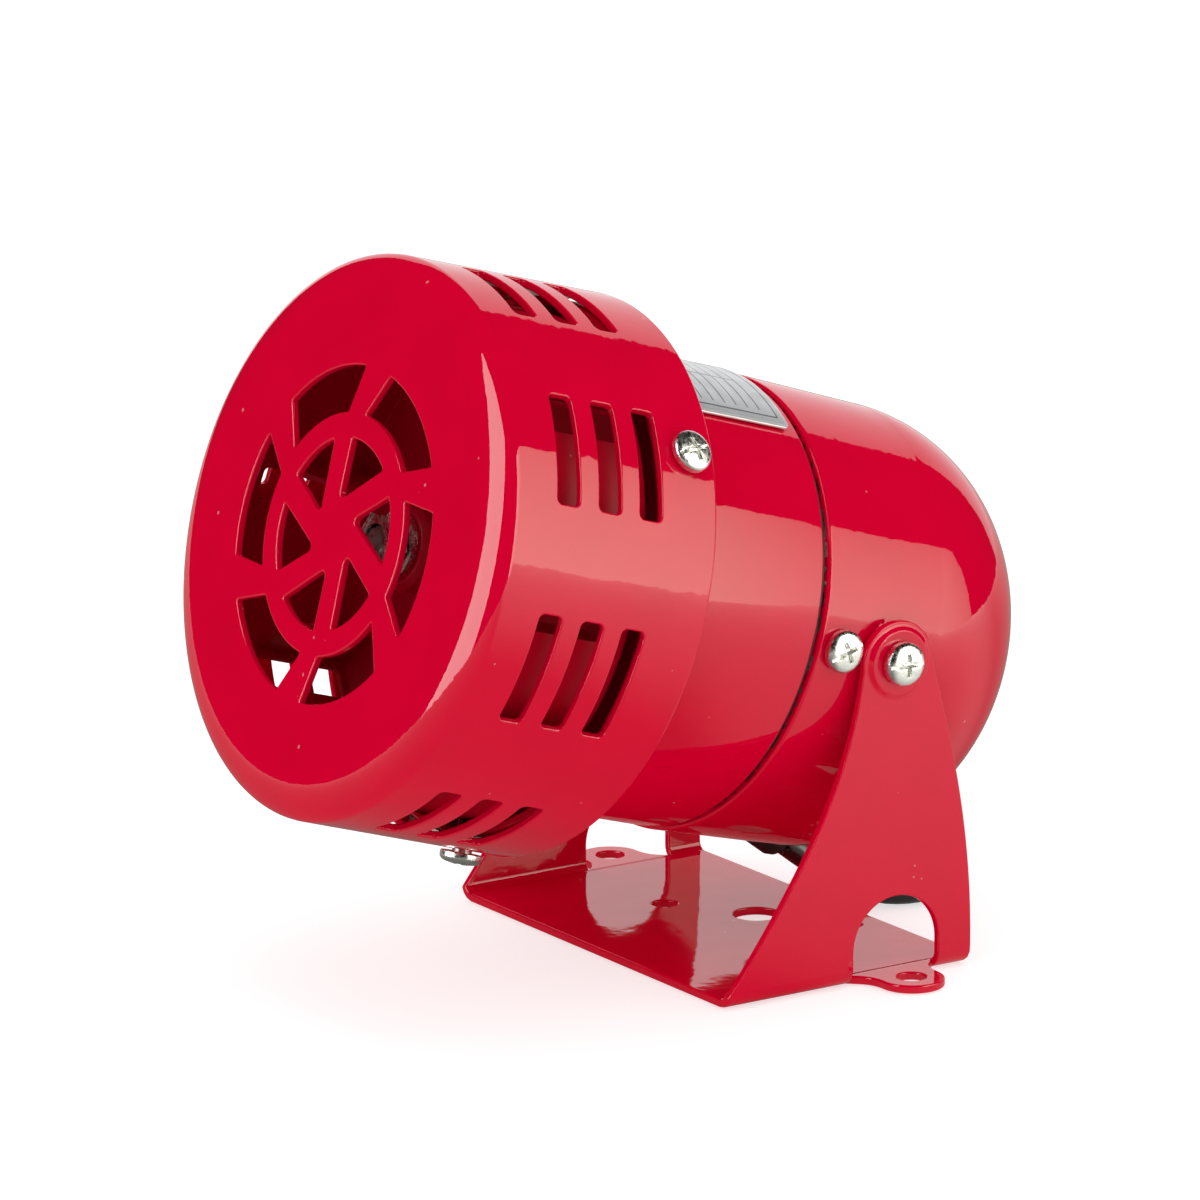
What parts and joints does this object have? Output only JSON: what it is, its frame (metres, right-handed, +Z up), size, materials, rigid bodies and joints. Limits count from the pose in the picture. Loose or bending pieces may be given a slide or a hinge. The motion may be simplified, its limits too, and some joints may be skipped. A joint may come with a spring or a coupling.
{
  "type": "alarm siren",
  "caption": "Compact motor-driven alarm siren: slotted round head with a swirl grille, domed housing, folded tilt bracket with fixing ears, and a short two-core lead.",
  "frame": {"origin": "centre of the bracket's underside, on the surface that it is fixed to", "axes": "+Z up from the mounting surface, -Y the way the siren sounds before its tilt, X along the pivot screws"},
  "size_m": [0.1297, 0.1602, 0.1103],
  "materials": {
    "red_enamel": "gloss stoved enamel over sheet steel, fine orange peel and a few dust specks",
    "rotor_enamel": "gloss enamel",
    "zinc": "bright zinc plate",
    "steel": "turned and pressed steel",
    "label": "satin silver foil with thin ruled lines",
    "rubber": "moulded black rubber",
    "jacket": "soft glossy black PVC",
    "red_insulation": "red PVC insulation",
    "copper": "bare and enamelled copper",
    "ferrite": "sintered ferrite",
    "carbon": "pressed carbon",
    "brass": "folded brass"
  },
  "bodies": {
    "bracket": {"mounting_bracket": "red_enamel", "power_cord": "jacket", "cord_coil": "jacket", "core_red": "red_insulation", "core_black": "jacket", "core_tip_red": "copper", "core_tip_black": "copper"},
    "housing": {"front_grille_cap": "red_enamel", "head_back_plate": "red_enamel", "middle_housing": "red_enamel", "rear_cover": "red_enamel", "head_screw_1": "zinc", "head_screw_2": "zinc", "head_screw_3": "zinc", "cover_screw_1": "zinc", "cover_screw_2": "zinc", "cover_screw_3": "zinc", "pivot_screw_left": "zinc", "pivot_screw_right": "zinc", "pivot_washer_left": "zinc", "pivot_washer_right": "zinc", "pivot_nut_left": "zinc", "pivot_nut_right": "zinc", "coupling_ring": "steel", "motor_can": "steel", "motor_front_plate": "steel", "motor_rear_plate": "steel", "front_bearing": "steel", "rear_bearing": "steel", "brush_spring_left": "steel", "brush_spring_right": "steel", "label_plate": "label", "seam_gasket": "rubber", "cable_grommet": "rubber", "motor_lead_negative": "jacket", "motor_lead_positive": "red_insulation", "field_magnet_upper": "ferrite", "field_magnet_lower": "ferrite", "brush_left": "carbon", "brush_right": "carbon", "brush_holder_left": "brass", "brush_holder_right": "brass"},
    "rotor": {"siren_rotor": "rotor_enamel", "motor_shaft": "steel", "rotor_washer": "zinc", "rotor_nut": "zinc", "armature_core": "steel", "armature_winding": "copper", "commutator": "copper"}
  },
  "joints": [
    {"name": "tilt", "type": "hinge", "parent": "bracket", "child": "housing", "pos_m": [0, 0.0084, 0.0487], "axis": [-1, 0, 0], "range_deg": [-20, 60], "deforming": ["power_cord"]},
    {"name": "rotor_spin", "type": "hinge", "parent": "housing", "child": "rotor", "pos_m": [0, 0.0084, 0.0487], "axis": [0, -0.9588, 0.284], "continuous": true}
  ]
}
